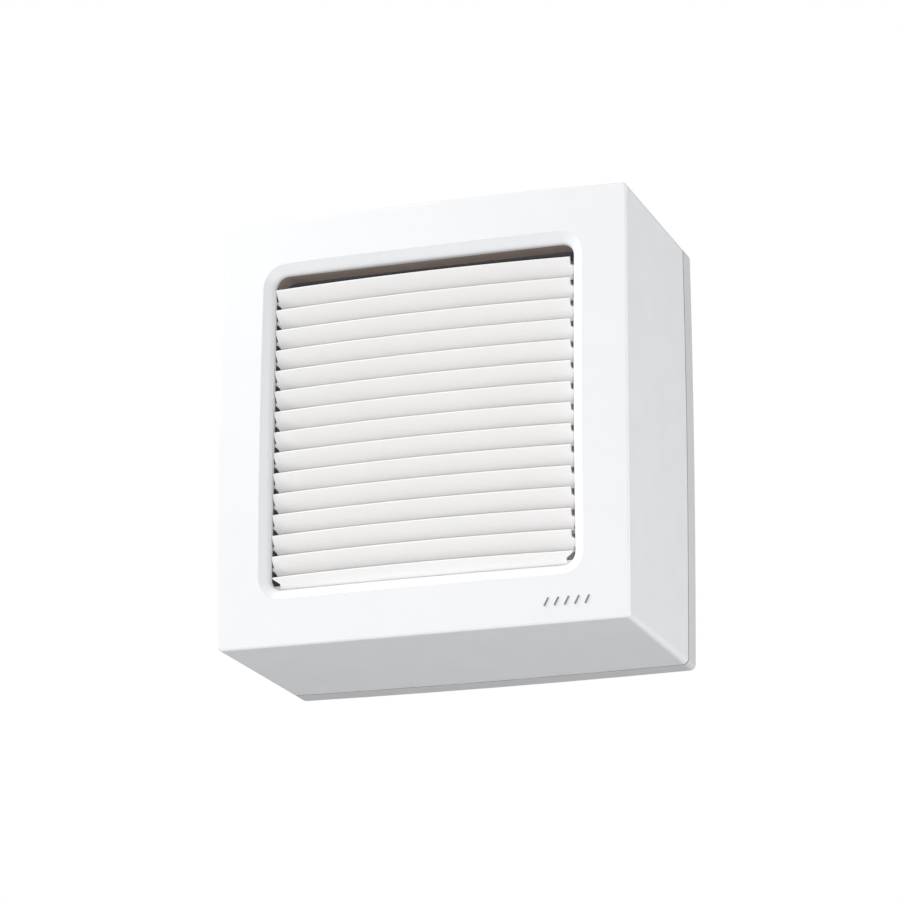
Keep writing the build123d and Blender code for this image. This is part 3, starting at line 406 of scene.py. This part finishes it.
def filter_bead(z):
    """A line of hot glue across the pleats' folds, which keeps them apart."""
    low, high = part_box("filter_pad")
    start = low[0] + BEAD_END_GAP
    length = high[0] - low[0] - 2 * BEAD_END_GAP
    y = low[1] + BEAD_RADIUS + BEAD_DEPTH
    turns = [2 * math.pi * m / BEAD_SIDES for m in range(BEAD_SIDES)]
    build = bmesh.new()
    loops = []
    for k in range(BEAD_STEPS + 1):
        x = start + length * k / BEAD_STEPS
        swell = BEAD_RADIUS * (BEAD_MEAN_SWELL + BEAD_SWELL * math.sin(k * BEAD_SWELL_TURN))
        loops.append([(x, y + swell * math.cos(turn), z + swell * math.sin(turn)) for turn in turns])
    add_loops(build, loops)
    return to_mesh(build, "filter_bead")


def smooth(thing):
    """Smooth shading that keeps the sharper edges."""
    thing.data.shade_smooth()
    sharp = thing.modifiers.new("edges", "EDGE_SPLIT")
    sharp.split_angle = SMOOTH_ANGLE


add_piece("heat_core_honeycomb", honeycomb_core(), "ceramic_core", ("heat_core",))
smooth(add_piece("filter_pleats", pleated_filter(), "filter_fleece", ("filter_pad",)))
for number in range(BEADS):
    height = (number - (BEADS - 1) / 2) * BEAD_SPACING
    smooth(add_piece("filter_bead_%d" % (number + 1), filter_bead(height), "terminal_plastic"))


# ------------------------------------------------------------------ camera, light and floor

CAMERA_AT = Vector((0.7477, -2.1789, -0.6878))
CAMERA_AZIMUTH = math.radians(19.65)
CAMERA_ELEVATION = math.radians(-17.05)
CAMERA_ROLL = math.radians(-0.25)
CAMERA_LENS = 157.66
CAMERA_SENSOR = 36.0
CAMERA_CLIP = 50.0

LIGHT_TARGET = Vector((0, -0.07, 0))
LIGHT_SPREAD = math.radians(110)
WIDE_BOX = 1.2
SMALL_BOX = 0.6
SKY_SEEN = 1.0
SKY_LIGHT = 0.19

FLOOR_HALF = 12.0
FLOOR_HEIGHT = -1.25
FLOOR_CLOUD_SCALE = 3.0
FLOOR_DARK = (0.86, 0.86, 0.86)
FLOOR_PALE = (0.9, 0.9, 0.9)
FLOOR_ROUGH = 0.9


def add_camera():
    """The camera looks up at the unit from below and from its right."""
    flat = math.cos(CAMERA_ELEVATION)
    back_x = math.sin(CAMERA_AZIMUTH) * flat
    back_y = -math.cos(CAMERA_AZIMUTH) * flat
    back = Vector((back_x, back_y, math.sin(CAMERA_ELEVATION)))
    level_right = (-back).cross(Vector((0, 0, 1))).normalized()
    level_up = back.cross(level_right)
    right = math.cos(CAMERA_ROLL) * level_right - math.sin(CAMERA_ROLL) * level_up
    up = back.cross(right)
    data = bpy.data.cameras.new("camera")
    data.lens = CAMERA_LENS
    data.sensor_width = CAMERA_SENSOR
    data.clip_end = CAMERA_CLIP
    camera = bpy.data.objects.new("camera", data)
    camera.matrix_world = Matrix.Translation(CAMERA_AT) @ Matrix((right, up, back)).transposed().to_4x4()
    bpy.context.scene.collection.objects.link(camera)
    bpy.context.scene.camera = camera


def add_softbox(name, place, size, power):
    """A square area light that faces the unit."""
    data = bpy.data.lights.new(name, "AREA")
    data.shape = "SQUARE"
    data.size = size
    data.energy = power
    data.spread = LIGHT_SPREAD
    light = bpy.data.objects.new(name, data)
    light.location = place
    light.rotation_euler = (LIGHT_TARGET - Vector(place)).to_track_quat("-Z", "Y").to_euler()
    bpy.context.scene.collection.objects.link(light)


def add_world():
    """White all round: as bright as paper to the eye, dimmer as a light."""
    world = bpy.data.worlds.new("studio")
    world.use_nodes = True
    bpy.context.scene.world = world
    tree = world.node_tree
    background = tree.nodes["Background"]
    path = tree.nodes.new("ShaderNodeLightPath")
    strength = tree.nodes.new("ShaderNodeMapRange")
    strength.inputs["To Min"].default_value = SKY_LIGHT
    strength.inputs["To Max"].default_value = SKY_SEEN
    tree.links.new(path.outputs["Is Camera Ray"], strength.inputs["Value"])
    tree.links.new(strength.outputs["Result"], background.inputs["Strength"])
    background.inputs["Color"].default_value = (1.0, 1.0, 1.0, 1.0)


def add_floor():
    """A wide pale floor well below the unit."""
    mesh = bpy.data.meshes.new("floor")
    corners = [(sx * FLOOR_HALF, sy * FLOOR_HALF, FLOOR_HEIGHT) for sx, sy in SQUARE]
    mesh.from_pydata(corners, [], [(0, 1, 2, 3)])
    floor = bpy.data.objects.new("floor", mesh)
    s = Shader("floor")
    s.set(Base_Color=s.mix(s.noise(FLOOR_CLOUD_SCALE), FLOOR_DARK, FLOOR_PALE), Roughness=FLOOR_ROUGH)
    mesh.materials.append(s.material)
    bpy.context.scene.collection.objects.link(floor)


add_camera()
add_softbox("key_high_left", (-1.592, -0.919, 1.838), WIDE_BOX, 21.0)
add_softbox("key_low_left", (-2.057, -1.44, -0.673), SMALL_BOX, 3.4)
add_softbox("side_right", (2.561, 0.451, 0.0), WIDE_BOX, 12.0)
add_softbox("fill_camera", (0.85, -2.336, -0.76), SMALL_BOX, 11.4)
add_world()
add_floor()
bpy.context.scene.view_settings.view_transform = "Standard"
